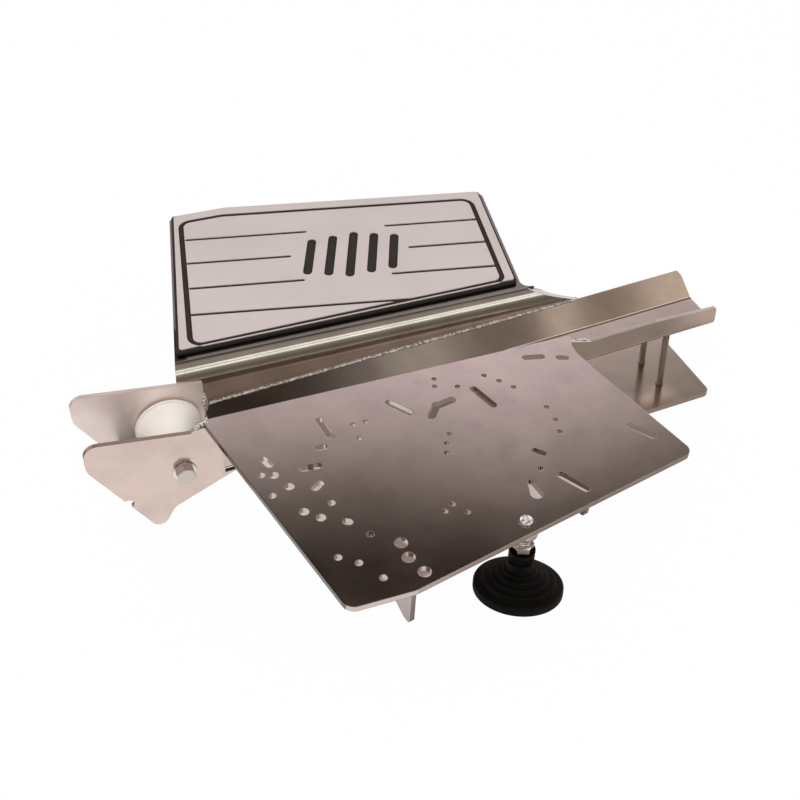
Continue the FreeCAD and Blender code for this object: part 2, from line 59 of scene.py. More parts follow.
# The motor plate's front inboard corner, and the middle of the channel's near wall, in metres
CORNER_X = -0.210
WALL_Y = 0.125

# The channel's slope, and how far the plates' side edges lean aft
SLOPE = math.radians(4.07)
SIDE_LEAN = math.radians(12.0)
SWEEP = math.tan(SIDE_LEAN)

UP = Vector((0, 0, 1))
ACROSS = Vector((0, 1, 0))
CHANNEL_NORMAL = Vector((-math.sin(SLOPE), 0, math.cos(SLOPE)))


def at(x, y, z=0.0):
    """A point from the corner and the near wall, in millimetres."""
    return Vector((CORNER_X + x / 1000, WALL_Y + y / 1000, z / 1000))


def on_channel(t, y, w):
    """A point in the channel's own slope: along it, across it and square to its floor."""
    x = t * math.cos(SLOPE) - w * math.sin(SLOPE)
    z = t * math.sin(SLOPE) + w * math.cos(SLOPE)
    return at(x, y, z)


# Camera

def make_camera():
    """The photo's camera: its place, its lens, and which way right, down and forward lie in it."""
    right = Vector((0.93032, -0.36576, 0.02859))
    down = Vector((-0.22170, -0.62250, -0.75061))
    forward = Vector((0.29234, 0.69189, -0.66021))
    place = (-0.36256, -0.73223, 0.785)
    data = bpy.data.cameras.new("camera")
    data.sensor_width = 36.0
    data.lens = 53.1
    camera = bpy.data.objects.new("camera", data)
    bpy.context.scene.collection.objects.link(camera)
    turn = Matrix((right, -down, -forward)).transposed().to_4x4()
    camera.matrix_world = Matrix.Translation(place) @ turn
    bpy.context.scene.camera = camera


# Node trees

class Tree:
    """Short calls for the nodes of a material or a world."""

    def __init__(self, node_tree):
        self.nodes = node_tree.nodes
        self.links = node_tree.links
        self.nodes.clear()

    def put(self, value, socket):
        """Sets a socket to a number or a colour, or links another socket to it."""
        if isinstance(value, tuple):
            socket.default_value = (*value, 1)
        elif isinstance(value, (int, float)):
            socket.default_value = value
        else:
            self.links.new(value, socket)

    def split(self, vector):
        """The X, Y and Z of a vector."""
        node = self.nodes.new("ShaderNodeSeparateXYZ")
        self.links.new(vector, node.inputs[0])
        return node.outputs["X"], node.outputs["Y"], node.outputs["Z"]

    def arithmetic(self, kind, *values, clamp=False):
        node = self.nodes.new("ShaderNodeMath")
        node.operation = kind
        node.use_clamp = clamp
        for value, socket in zip(values, node.inputs):
            self.put(value, socket)
        return node.outputs[0]

    def rise(self, value, low, high, smooth=True):
        """Goes from 0 at one value to 1 at another."""
        node = self.nodes.new("ShaderNodeMapRange")
        node.interpolation_type = "SMOOTHSTEP" if smooth else "LINEAR"
        node.inputs["From Min"].default_value = low
        node.inputs["From Max"].default_value = high
        self.links.new(value, node.inputs["Value"])
        return node.outputs[0]

    def ramp(self, value, *stops):
        """A colour by value, from stops of a place and a colour."""
        node = self.nodes.new("ShaderNodeValToRGB")
        elements = node.color_ramp.elements
        while len(elements) < len(stops):
            elements.new(0.5)
        for element, (place, colour) in zip(elements, stops):
            element.position = place
            element.color = (*colour, 1)
        self.links.new(value, node.inputs[0])
        return node.outputs[0]

    def mix(self, kind, share, first, second):
        node = self.nodes.new("ShaderNodeMix")
        node.data_type = "RGBA"
        node.blend_type = kind
        self.put(share, node.inputs[0])
        self.put(first, node.inputs[6])
        self.put(second, node.inputs[7])
        return node.outputs[2]

    def light(self, kind, colour, strength=1.0):
        """The output of a node that gives off light."""
        node = self.nodes.new(kind)
        self.put(colour, node.inputs["Color"])
        node.inputs["Strength"].default_value = strength
        return node.outputs[0]

    def by_ray(self, first, *shows):
        """Shades some kinds of ray by a shader of their own, in a share; the others see the first one."""
        path = self.nodes.new("ShaderNodeLightPath")
        last = first
        for ray, shader, share in shows:
            amount = self.arithmetic("MULTIPLY", path.outputs[ray], share)
            node = self.nodes.new("ShaderNodeMixShader")
            for socket, value in zip(node.inputs, (amount, last, shader)):
                self.links.new(value, socket)
            last = node.outputs[0]
        return last


def new_material(name):
    material = bpy.data.materials.new(name)
    material.use_nodes = True
    return material


# Stage

FLOOR_REACH = 6.0
FLOOR_GAP = 0.0006

# The five slanted sides of the shade on the floor; x * X + y * Y + shift is how deep a point lies inside one
SHADE_SIDES = (
    (0.0213, -0.9998, 0.2733), (-0.9937, -0.1118, 0.3256), (-0.2092, 0.9779, 0.0302),
    (0.0533, 0.9986, 0.0432), (0.9786, 0.2057, 0.1240),
)


def floor_shade(tree, along, across):
    """White, but for a soft shade that lies under the motor plate and shows through its holes."""
    depth = None
    for x, y, shift in SHADE_SIDES:
        side = tree.arithmetic("MULTIPLY_ADD", along, x, tree.arithmetic("MULTIPLY_ADD", across, y, shift))
        depth = side if depth is None else tree.arithmetic("MINIMUM", depth, side)
    run = tree.rise(along, -0.14, 0.30, smooth=False)
    outer = tree.ramp(
        run,
        (0.00, (0.66, 0.54, 0.48)), (0.10, (0.58, 0.47, 0.42)), (0.18, (0.27, 0.20, 0.18)),
        (0.36, (0.26, 0.19, 0.17)), (0.56, (0.52, 0.45, 0.43)), (1.00, (0.48, 0.41, 0.39)),
    )
    inner = tree.ramp(
        run,
        (0.00, (0.66, 0.54, 0.48)), (0.14, (0.55, 0.45, 0.40)), (0.23, (0.16, 0.118, 0.103)),
        (1.00, (0.15, 0.112, 0.100)),
    )
    inside = tree.mix("MIX", tree.rise(across, 0.045, 0.115), outer, inner)
    return tree.mix("MIX", tree.rise(depth, 0.002, 0.014), (1.0, 1.0, 1.0), inside)


def floor_in_metal(tree, along, across):
    """The floor as metal mirrors it: bright, but dim under the plates, under the step and far in front."""
    under = tree.arithmetic("MULTIPLY", tree.rise(along, -0.175, -0.11), tree.rise(across, -0.24, -0.19))
    far = tree.arithmetic("SUBTRACT", 1.0, tree.rise(across, -0.52, -0.42))
    dim = tree.arithmetic("MAXIMUM", under, far)
    dim = tree.arithmetic("MAXIMUM", dim, tree.rise(across, 0.125, 0.145))
    low_light = tree.mix("MIX", tree.rise(along, 0.40, 0.50), (0.36, 0.31, 0.275), (0.68, 0.60, 0.53))
    return tree.mix("MIX", dim, (0.95, 0.94, 0.93), low_light)


def make_floor():
    """A pale paper floor just below the object."""
    low = CAD_BOX[0][2] - FLOOR_GAP
    corners = [(x * FLOOR_REACH, y * FLOOR_REACH, low) for x, y in ((-1, -1), (1, -1), (1, 1), (-1, 1))]
    mesh = bpy.data.meshes.new("floor")
    mesh.from_pydata(corners, [], [(0, 1, 2, 3)])
    floor = bpy.data.objects.new("floor", mesh)
    bpy.context.scene.collection.objects.link(floor)

    material = new_material("floor_paper")
    tree = Tree(material.node_tree)
    out = tree.nodes.new("ShaderNodeOutputMaterial")
    paper = tree.nodes.new("ShaderNodeBsdfDiffuse")
    paper.inputs["Color"].default_value = (0.80, 0.80, 0.80, 1)
    place = tree.nodes.new("ShaderNodeNewGeometry")
    along, across, _ = tree.split(place.outputs["Position"])
    seen = tree.light("ShaderNodeEmission", floor_shade(tree, along, across))
    mirrored = tree.light("ShaderNodeEmission", floor_in_metal(tree, along, across))
    clear = tree.light("ShaderNodeEmission", (1.0, 1.0, 1.0))
    last = tree.by_ray(
        paper.outputs[0],
        ("Is Glossy Ray", mirrored, 0.96),
        ("Is Transmission Ray", clear, 1.0),
        ("Is Camera Ray", seen, 0.985),
    )
    tree.links.new(last, out.inputs["Surface"])
    mesh.materials.append(material)


def light_behind(tree, along, height):
    """Behind the object the light falls off upward, and sooner towards the aft side."""
    past = tree.arithmetic("SUBTRACT", along, 0.38, clamp=True)
    raised = tree.arithmetic("MULTIPLY_ADD", past, 0.42, height)
    return tree.ramp(
        raised,
        (0.605, (0.98, 0.88, 0.92)), (0.632, (0.87, 0.77, 0.80)), (0.655, (0.71, 0.645, 0.66)),
        (0.668, (0.64, 0.585, 0.59)), (0.690, (0.42, 0.375, 0.350)), (0.705, (0.29, 0.255, 0.235)),
        (0.720, (0.170, 0.145, 0.127)), (0.738, (0.070, 0.055, 0.045)), (0.752, (0.020, 0.013, 0.010)),
        (0.768, (0.010, 0.006, 0.004)), (0.784, (0.014, 0.010, 0.008)), (0.802, (0.15, 0.122, 0.098)),
        (0.835, (0.27, 0.218, 0.18)), (0.950, (0.34, 0.278, 0.235)), (1.000, (0.27, 0.22, 0.185)),
    )


def light_ahead(tree, along, height, lean):
    """Before the object it is dim, but for a long soft box overhead with patches in its middle."""
    dim = tree.ramp(
        height,
        (0.000, (0.16, 0.125, 0.098)), (0.200, (0.17, 0.132, 0.102)), (0.460, (0.145, 0.108, 0.082)),
        (0.660, (0.24, 0.198, 0.162)), (1.000, (0.28, 0.23, 0.195)),
    )
    bright = tree.nodes.new("ShaderNodeRGB")
    bright.outputs[0].default_value = (1.75, 1.66, 1.54, 1)
    patches = tree.ramp(
        along,
        (0.070, (0.030, 0.021, 0.016)), (0.100, (0.058, 0.048, 0.038)), (0.130, (0.120, 0.108, 0.100)),
        (0.160, (0.190, 0.170, 0.158)), (0.195, (0.44, 0.41, 0.375)), (0.218, (0.46, 0.42, 0.375)),
        (0.250, (0.235, 0.205, 0.180)), (0.300, (0.215, 0.180, 0.155)), (0.322, (0.85, 0.74, 0.66)),
        (0.345, (0.30, 0.25, 0.205)), (0.370, (0.34, 0.28, 0.235)), (0.410, (0.78, 0.68, 0.58)),
    )
    tilt = tree.rise(lean, -1.0, 1.0, smooth=False)
    off, on = grey(0.0), grey(1.0)
    box = tree.ramp(tilt, (0.110, off), (0.215, on), (0.380, on), (0.435, off))
    window = tree.ramp(tilt, (0.256, off), (0.270, on), (0.330, on), (0.344, off))
    return tree.mix("MIX", window, tree.mix("MIX", box, dim, bright.outputs[0]), patches)


def make_world():
    """White to the camera, even light on matt pieces, and a room with a soft box for metal to mirror."""
    world = bpy.data.worlds.new("studio")
    bpy.context.scene.world = world
    world.use_nodes = True
    tree = Tree(world.node_tree)
    out = tree.nodes.new("ShaderNodeOutputWorld")
    place = tree.nodes.new("ShaderNodeTexCoord")
    along, across, height = tree.split(place.outputs["Generated"])
    lean = tree.arithmetic("DIVIDE", across, tree.arithmetic("MAXIMUM", height, 0.2))
    ahead = light_ahead(tree, along, height, lean)
    behind = light_behind(tree, along, height)
    both = tree.mix("MIX", tree.rise(lean, -0.04, 0.08), ahead, behind)
    even = tree.light("ShaderNodeBackground", (1.0, 1.0, 1.0), 0.62)
    mirrored = tree.light("ShaderNodeBackground", both)
    white = tree.light("ShaderNodeBackground", (1.0, 1.0, 1.0))
    last = tree.by_ray(
        even,
        ("Is Glossy Ray", mirrored, 1.0),
        ("Is Transmission Ray", white, 1.0),
        ("Is Camera Ray", white, 1.0),
    )
    tree.links.new(last, out.inputs["Surface"])


def area_light(name, place, target, size, power, colour=(1, 1, 1)):
    data = bpy.data.lights.new(name, "AREA")
    data.shape = "SQUARE"
    data.size = size
    data.energy = power
    data.color = colour
    lamp = bpy.data.objects.new(name, data)
    lamp.visible_glossy = False
    bpy.context.scene.collection.objects.link(lamp)
    lamp.location = place
    aim = Vector(target) - Vector(place)
    lamp.rotation_euler = aim.to_track_quat("-Z", "Y").to_euler()


def make_lights():
    area_light("key", (-1.3, -0.9, 1.9), (0, 0.1, 0), 1.3, 26.0, (1.0, 0.985, 0.965))
    area_light("fill", (1.6, -0.8, 1.3), (0.05, 0.1, 0), 1.5, 10.0)
    area_light("back", (-0.2, 2.2, 1.4), (0, 0.1, 0), 1.6, 9.0)


# Materials

class Finish(Tree):
    """A principled material, with short calls for its texture."""

    def __init__(self, name, **values):
        self.material = new_material(name)
        super().__init__(self.material.node_tree)
        out = self.nodes.new("ShaderNodeOutputMaterial")
        self.shader = self.nodes.new("ShaderNodeBsdfPrincipled")
        self.links.new(self.shader.outputs[0], out.inputs["Surface"])
        for key, value in values.items():
            self.shader.inputs[key.replace("_", " ")].default_value = value
        self.place = self.nodes.new("ShaderNodeTexCoord").outputs["Object"]

    def noise(self, scale, detail=3.0, stretch=(1, 1, 1), rough=0.55):
        mapping = self.nodes.new("ShaderNodeMapping")
        mapping.inputs["Scale"].default_value = stretch
        self.links.new(self.place, mapping.inputs[0])
        texture = self.nodes.new("ShaderNodeTexNoise")
        texture.inputs["Scale"].default_value = scale
        texture.inputs["Detail"].default_value = detail
        texture.inputs["Roughness"].default_value = rough
        self.links.new(mapping.outputs[0], texture.inputs["Vector"])
        return texture.outputs["Fac"]

    def bump(self, value, strength, distance, normal=None):
        node = self.nodes.new("ShaderNodeBump")
        node.inputs["Strength"].default_value = strength
        node.inputs["Distance"].default_value = distance
        self.links.new(value, node.inputs["Height"])
        if normal is not None:
            self.links.new(normal, node.inputs["Normal"])
        return node.outputs[0]

    def soft_edges(self, radius):
        node = self.nodes.new("ShaderNodeBevel")
        node.samples = 6
        node.inputs["Radius"].default_value = radius
        return node.outputs[0]

    def into(self, key, output):
        self.links.new(output, self.shader.inputs[key])

    def darken(self, share, shade):
        """Multiplies the base colour by a shade, in a share."""
        old = self.shader.inputs["Base Color"].links[0].from_socket
        self.into("Base Color", self.mix("MULTIPLY", share, old, shade))


def grey(value):
    return (value, value, value)


# How a brushed sheet's fine lines are stretched: along the object, upright, or not at all
LINES_AFT = (0.03, 1.0, 1.0)
LINES_UP = (1.0, 1.0, 0.05)
EVEN = (1, 1, 1)


def steel(name, tint, low, high, lines=EVEN, streak=0.04, edge=0.0007):
    """Polished stainless steel of low to high roughness: fine lines, dim clouds and rubbed edges."""
    g = Finish(name, Metallic=1.0)
    clouds = g.noise(9.0, 4.0)
    scratches = g.noise(900.0, 2.0, lines, 0.6)
    stains = g.ramp(g.noise(26.0, 6.0), (0.42, grey(1.0)), (0.74, grey(0.86)))
    dull = tuple(c * 0.93 for c in tint)
    shiny = tuple(min(1, c * 1.04) for c in tint)
    base = g.ramp(clouds, (0.30, dull), (0.70, shiny))
    base = g.mix("MULTIPLY", 1.0, base, stains)
    fine = g.ramp(scratches, (0.35, grey(1.0 - streak)), (0.65, grey(1.0)))
    g.into("Base Color", g.mix("MULTIPLY", 1.0, base, fine))
    g.into("Roughness", g.ramp(g.noise(14.0, 5.0), (0.3, grey(low)), (0.72, grey(high))))
    normal = g.bump(scratches, 0.3 * streak, 0.0002, g.soft_edges(edge))
    g.into("Normal", g.bump(g.noise(7.0, 2.0), 0.025, 0.008, normal))
    return g


def shade_by_pad(g):
    """Paints shade on a strip of the step plate along the pad's edge, and darkens a rim at its front."""
    along, across, _ = g.split(g.place)
    g.darken(g.rise(across, 0.2165, 0.2245), (0.30, 0.28, 0.26))
    rim = g.mix("MULTIPLY", 1.0, g.rise(along, -0.1990, -0.2020), g.rise(across, 0.2225, 0.2255))
    g.darken(rim, (0.16, 0.15, 0.14))


def dark_rims(g, shade):
    """Darkens the cut edges of an upright plate that faces across the object."""
    geometry = g.nodes.new("ShaderNodeNewGeometry")
    _, across, _ = g.split(geometry.outputs["True Normal"])
    g.darken(g.rise(g.arithmetic("ABSOLUTE", across), 0.8, 0.5), shade)


def dark_front_edge(g):
    """Paints shade on the motor plate's front edge, a straight cut that leans aft."""
    outward = (-math.cos(SIDE_LEAN), -math.sin(SIDE_LEAN), 0)
    edge = outward[0] * CORNER_X + outward[1] * WALL_Y
    reach = g.nodes.new("ShaderNodeVectorMath")
    reach.operation = "DOT_PRODUCT"
    reach.inputs[1].default_value = outward
    g.links.new(g.place, reach.inputs[0])
    g.darken(g.rise(reach.outputs["Value"], edge - 0.0014, edge - 0.0006), (0.25, 0.24, 0.23))


def weld_metal():
    g = Finish("weld_steel", Metallic=0.5)
    g.into("Base Color", g.ramp(g.noise(480.0, 4.0), (0.45, (0.30, 0.25, 0.21)), (0.54, (1.0, 0.98, 0.95))))
    g.into("Roughness", g.ramp(g.noise(300.0, 3.0), (0.3, grey(0.14)), (0.7, grey(0.34))))
    g.into("Normal", g.bump(g.noise(620.0, 4.0), 0.7, 0.0010))
    return g


def roller_plastic():
    g = Finish("roller_plastic", Subsurface_Weight=0.12, Subsurface_Scale=0.01)
    g.shader.inputs["Subsurface Radius"].default_value = (1.0, 0.8, 0.6)
    marks = g.ramp(g.noise(30.0, 6.0), (0.35, (0.86, 0.80, 0.74)), (0.62, (0.88, 0.835, 0.785)))
    scuffs = g.ramp(g.noise(55.0, 5.0), (0.55, grey(1.0)), (0.85, grey(0.93)))
    g.into("Base Color", g.mix("MULTIPLY", 1.0, marks, scuffs))
    g.into("Roughness", g.ramp(g.noise(60.0, 4.0), (0.3, grey(0.46)), (0.7, grey(0.60))))
    g.into("Normal", g.bump(g.noise(160.0, 4.0), 0.08, 0.0006, g.soft_edges(0.0008)))
    return g


def bush_plastic():
    g = Finish("bush_plastic")
    g.into("Base Color", g.ramp(g.noise(60.0, 4.0), (0.3, (0.55, 0.52, 0.46)), (0.7, (0.68, 0.65, 0.58))))
    g.into("Roughness", g.ramp(g.noise(90.0, 3.0), (0.3, grey(0.40)), (0.7, grey(0.55))))
    g.into("Normal", g.bump(g.noise(400.0, 3.0), 0.06, 0.0004))
    return g


def light_foam():
    """The pad's pale top: brushed cells with faint clouds."""
    g = Finish("light_foam", Sheen_Weight=0.15, Sheen_Roughness=0.5)
    cells = g.noise(1500.0, 3.0, EVEN, 0.7)
    brushed = g.noise(340.0, 3.0, (0.12, 1.0, 1.0), 0.6)
    base = g.ramp(g.noise(11.0, 5.0), (0.3, (0.570, 0.490, 0.475)), (0.7, (0.625, 0.540, 0.525)))
    base = g.mix("MULTIPLY", 1.0, base, g.ramp(brushed, (0.32, grey(0.96)), (0.68, grey(1.0))))
    base = g.mix("MULTIPLY", 1.0, base, g.ramp(cells, (0.36, grey(0.92)), (0.6, grey(1.0))))
    g.into("Base Color", base)
    g.into("Roughness", g.ramp(brushed, (0.3, grey(0.72)), (0.7, grey(0.88))))
    g.into("Normal", g.bump(cells, 0.25, 0.0004, g.bump(brushed, 0.15, 0.0004)))
    return g


def dark_foam():
    g = Finish("dark_foam", Specular_IOR_Level=0.2)
    cells = g.noise(1400.0, 3.0, EVEN, 0.7)
    g.into("Base Color", g.ramp(cells, (0.35, (0.019, 0.0145, 0.0125)), (0.65, (0.041, 0.032, 0.028))))
    g.into("Roughness", g.ramp(g.noise(40.0, 4.0), (0.3, grey(0.65)), (0.7, grey(0.82))))
    g.into("Normal", g.bump(cells, 0.3, 0.0004))
    return g


def black_rubber():
    g = Finish("black_rubber", Specular_IOR_Level=0.10)
    dust = g.noise(24.0, 6.0)
    g.into("Base Color", g.ramp(dust, (0.38, (0.0022, 0.0022, 0.0018)), (0.75, (0.0060, 0.0058, 0.0050))))
    g.into("Roughness", g.ramp(g.noise(70.0, 4.0), (0.3, grey(0.34)), (0.7, grey(0.52))))
    g.into("Normal", g.bump(g.noise(800.0, 3.0), 0.12, 0.0003, g.soft_edges(0.0006)))
    return g


def make_materials():
    finishes = {
        "plate": steel("plate_steel", (0.66, 0.565, 0.53), 0.10, 0.145, LINES_AFT, 0.03),
        # The cheeks' steel is the plates' steel tinted lighter, painted light; the far cheek's is lighter
        # still
        "cheek": steel("cheek_steel", (0.76, 0.615, 0.56), 0.20, 0.27, LINES_UP, 0.02),
        "far_cheek": steel("far_cheek_steel", (0.96, 0.84, 0.785), 0.38, 0.46, LINES_UP, 0.0),
        "sheet": steel("sheet_steel", (0.64, 0.555, 0.50), 0.055, 0.085, LINES_AFT, 0.03),
        "step": steel("step_steel", (0.725, 0.725, 0.68), 0.15, 0.20, LINES_AFT, 0.02),
        "mirror": steel("mirror_steel", (0.70, 0.61, 0.53), 0.17, 0.23, EVEN, 0.03),
        "fastener": steel("fastener_steel", (0.90, 0.84, 0.80), 0.18, 0.28, EVEN, 0.05, 0.0004),
        # The studs' steel is tinted darker than the other fasteners', painted shade
        "thread": steel("thread_steel", (0.44, 0.37, 0.32), 0.10, 0.17, EVEN, 0.05, 0.0004),
        "rib": steel("rib_steel", (0.50, 0.43, 0.415), 0.16, 0.22, LINES_AFT, 0.03),
        "bolt": steel("bolt_steel", (0.70, 0.62, 0.575), 0.34, 0.44, EVEN, 0.04, 0.0006),
        "weld": weld_metal(),
        "roller": roller_plastic(),
        "bush": bush_plastic(),
        "light_foam": light_foam(),
        "dark_foam": dark_foam(),
        "rubber": black_rubber(),
    }
    finishes["far_cheek"].shader.inputs["Metallic"].default_value = 0.65
    finishes["bolt"].shader.inputs["Metallic"].default_value = 0.6
    dark_front_edge(finishes["plate"])
    dark_rims(finishes["cheek"], (0.52, 0.50, 0.48))
    dark_rims(finishes["far_cheek"], (0.72, 0.70, 0.68))
    # Painted shade on the step plate along the pad's edge
    shade_by_pad(finishes["step"])
    return {key: finish.material for key, finish in finishes.items()}


NODE_MATERIALS = {
    "channel": "sheet", "near_cheek": "cheek", "far_cheek": "far_cheek", "cross_plate": "plate",
    "motor_plate": "plate", "front_rib": "rib", "aft_rib": "rib", "step_plate": "step",
    "clamp_plate": "mirror", "roller": "roller", "roller_bush": "bush",
    "pad_base": "dark_foam", "pad_top": "light_foam", "foot_pad": "rubber", "foot_collar": "rubber",
    "flange_weld": "weld",
}


def dress_nodes(made):
    """Gives every solid its material; the fasteners' steel goes to all that the list above doesn't name."""
    for name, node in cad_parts.items():
        material = made[NODE_MATERIALS.get(name, "fastener")]
        for index in range(max(1, len(node.material_slots))):
            if not node.material_slots:
                node.data.materials.append(material)
            node.material_slots[index].link = "OBJECT"
            node.material_slots[index].material = material


# Meshes

def finish_piece(mesh, name, body, material, slot, *nodes):
    """Makes the mesh a piece of the object: its finish, the body it rides on and the nodes it stands for."""
    mesh.name = name
    mesh.materials.clear()
    mesh.materials.append(material)
    piece = bpy.data.objects.new(name, mesh)
    bpy.context.scene.collection.objects.link(piece)
    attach(piece, body)
    if nodes:
        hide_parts(*nodes)
    return piece


def gather(meshes):
    """A bmesh with the faces of several meshes, which it uses up."""
    joined = bmesh.new()
    for mesh in meshes:
        joined.from_mesh(mesh)
        bpy.data.meshes.remove(mesh)
    return joined


def settle(joined):
    """A mesh from a bmesh, which it uses up."""
    mesh = bpy.data.meshes.new("joined")
    joined.to_mesh(mesh)
    joined.free()
    return mesh


def join_meshes(meshes):
    """One mesh from several, with doubled points merged and faces turned outward."""
    joined = gather(meshes)
    bmesh.ops.remove_doubles(joined, verts=joined.verts, dist=1e-7)
    bmesh.ops.recalc_face_normals(joined, faces=joined.faces)
    return settle(joined)


def join_smooth(meshes):
    """One mesh from several, each with its own smooth and sharp edges kept."""
    return settle(gather(meshes))


def skin(rings, wrap=False, sharp=math.radians(38)):
    """A mesh over rings of equal point counts, capped at open ends or wrapped round to its first ring."""
    count = len(rings[0])
    points = [tuple(point) for ring in rings for point in ring]
    faces = []
    pairs = len(rings) if wrap else len(rings) - 1
    for k in range(pairs):
        here = k * count
        there = ((k + 1) % len(rings)) * count
        for i in range(count):
            j = (i + 1) % count
            faces.append((here + i, here + j, there + j, there + i))
    if not wrap:
        faces.append(tuple(range(count)))
        faces.append(tuple(range((len(rings) - 1) * count, len(rings) * count)))
    mesh = bpy.data.meshes.new("skin")
    mesh.from_pydata(points, [], faces)
    mesh = join_meshes([mesh])
    mesh.polygons.foreach_set("use_smooth", [True] * len(mesh.polygons))
    mesh.set_sharp_from_angle(angle=sharp)
    return mesh


def frame_of(base, axis):
    """A matrix that stands the local Z axis on a base point, along an axis."""
    turn = UP.rotation_difference(Vector(axis)).to_matrix().to_4x4()
    return Matrix.Translation(base) @ turn


def around(place, angle, radius, height):
    """A point at an angle, a radius and a height about a local Z axis."""
    return place @ Vector((radius * math.cos(angle), radius * math.sin(angle), height))


def lathe(outline, base, axis, steps=72, sharp=math.radians(38)):
    """Turns a closed side view of (radius, height) points, in metres, about an axis."""
    place = frame_of(base, axis)
    angles = [math.tau * k / steps for k in range(steps)]
    rings = [[around(place, angle, radius, height) for angle in angles] for radius, height in outline]
    return skin(rings, wrap=True, sharp=sharp)


def mm(outline):
    return [(radius / 1000, height / 1000) for radius, height in outline]


def rod(length, radius, pitch, base, axis, steps=20, rows=4):
    """A threaded rod in metres with bevelled ends; its thread is a V that winds one pitch a turn."""
    place = frame_of(base, axis)
    depth = 0.54 * pitch
    total = max(2, round(length / pitch * rows))
    rings = []
    for row in range(total + 1):
        height = length * row / total
        near_end = min(height, length - height) / (1.2 * pitch)
        ring = []
        for k in range(steps):
            wave = (height / pitch - k / steps) % 1.0
            here = radius - depth * (1 - abs(2 * wave - 1))
            if near_end < 1:
                here = min(here, radius - depth * 1.3 * (1 - near_end))
            ring.append(around(place, math.tau * k / steps, here, height))
        rings.append(ring)
    return skin(rings, sharp=math.radians(80))


def hexagon(flats, height, bore, base, axis, turn=0.0, both=True, steps=72):
    """A hexagon with its corners chamfered at the top, and below too if asked, bored if bore isn't 0."""
    place = frame_of(base, axis)
    inner = flats / 2 * 0.96
    lip = 0.0006
    sixth = math.radians(60)
    angles = [math.tau * k / steps for k in range(steps)]
    full = [flats / 2 / math.cos((angle + sixth / 2 - turn) % sixth - sixth / 2) for angle in angles]
    drops = [(reach - inner) * math.tan(math.radians(28)) for reach in full]

    def ring(radii, heights):
        return [around(place, angle, radius, h) for angle, radius, h in zip(angles, radii, heights)]

    def circle(radius, level):
        return ring([radius] * steps, [level] * steps)

    rings = []
    if bore > 0:
        rings.append(circle(bore, height - lip))
        rings.append(circle(bore + lip, height))
    rings.append(circle(inner, height))
    rings.append(ring(full, [height - drop for drop in drops]))
    if both:
        rings.append(ring(full, drops))
        rings.append(circle(inner, 0.0))
    else:
        rings.append(ring(full, [0.0] * steps))
    if bore > 0:
        rings.append(circle(bore + lip, 0.0))
        rings.append(circle(bore, lip))
    return skin(rings, wrap=bore > 0, sharp=math.radians(20))


def washer(outer, inner, thick, base, axis):
    """A flat ring with bevelled outer edges, in metres."""
    edge = thick * 0.3
    outline = [(inner, 0), (outer - edge, 0), (outer, edge),
               (outer, thick - edge), (outer - edge, thick), (inner, thick)]
    return lathe(outline, base, axis, steps=48)


def bead(start, end, radius, up, lap=0.0022, wander=0.10, seed=0.0):
    """A weld bead of overlapping laps between two points; it swells and wanders a little on its way."""
    along = end - start
    length = along.length
    along.normalize()
    up = (up - along * up.dot(along)).normalized()
    side = along.cross(up)
    count = max(8, round(length / (lap / 4)))
    rings = []
    for k in range(count + 1):
        run = length * k / count
        phase = (run / lap) % 1.0
        swell = 1 + wander * math.sin(run * 310 + seed) + wander * 0.6 * math.sin(run * 973 + 2 * seed)
        here = radius * swell * (0.84 + 0.16 * math.sqrt(max(0.0, 1 - (2 * phase - 1) ** 2)))
        fade = min(1.0, (min(run, length - run) + radius * 0.2) / radius)
        here *= math.sqrt(fade)
        shift = side * (radius * 0.12 * math.sin(run * 517 + seed))
        centre = start + along * run + shift
        rings.append([centre + (up * math.cos(a) + side * math.sin(a)) * here
                      for a in (math.tau * i / 12 for i in range(12))])
    return skin(rings, sharp=math.radians(80))


def bead_ring(centre, radius, thick):
    """A weld bead all round a boss."""
    rings = []
    count = 120
    for k in range(count):
        angle = math.tau * k / count
        out = Vector((math.cos(angle), math.sin(angle), 0))
        here = thick * (0.9 + 0.16 * math.sin(angle * 22))
        middle = centre + out * radius
        rings.append([middle + (out * math.cos(a) + UP * math.sin(a)) * here
                      for a in (math.tau * i / 10 for i in range(10))])
    return skin(rings, wrap=True, sharp=math.radians(80))


def blob(place, size, seed=0.0):
    """A small lump of weld metal: a ball with a few shallow waves."""
    lump = bmesh.new()
    bmesh.ops.create_icosphere(lump, subdivisions=3, radius=1.0)
    for vertex in lump.verts:
        x, y, z = vertex.co
        wave = 1 + 0.14 * math.sin(5 * x + seed) * math.cos(4 * y - seed) + 0.08 * math.sin(9 * z + 2 * seed)
        vertex.co = Vector((x * size[0], y * size[1], z * size[2])) * wave + place
    mesh = settle(lump)
    mesh.polygons.foreach_set("use_smooth", [True] * len(mesh.polygons))
    return mesh


# Flat outlines

def turned(arm, angle):
    """A flat arm turned by an angle."""
    return Vector((arm.x * math.cos(angle) - arm.y * math.sin(angle),
                   arm.x * math.sin(angle) + arm.y * math.cos(angle)))


def rounded_loop(points, radii, steps=6):
    """A closed flat outline with its corners rounded, as a list of 2-D points."""
    loop = []
    count = len(points)
    for i in range(count):
        before = Vector(points[i - 1])
        here = Vector(points[i])
        after = Vector(points[(i + 1) % count])
        into = (here - before).normalized()
        out = (after - here).normalized()
        turn = into.angle(out)
        if radii[i] <= 0 or turn < 0.01:
            loop.append(here)
            continue
        start = here - into * (radii[i] * math.tan(turn / 2))
        inward = (out - into).normalized()
        centre = here + inward * (radii[i] / math.cos(turn / 2))
        side = 1 if into.x * out.y - into.y * out.x > 0 else -1
        loop += [centre + turned(start - centre, side * turn * k / steps) for k in range(steps + 1)]
    return loop


def soft_outline(corners, radius):
    """A side view with its outer corners rounded; a corner given as (r, h, radius) has its own."""
    radii = [corner[2] if len(corner) > 2 else radius for corner in corners]
    loop = rounded_loop([corner[:2] for corner in corners], radii, 4)
    return [(point[0], point[1]) for point in loop]


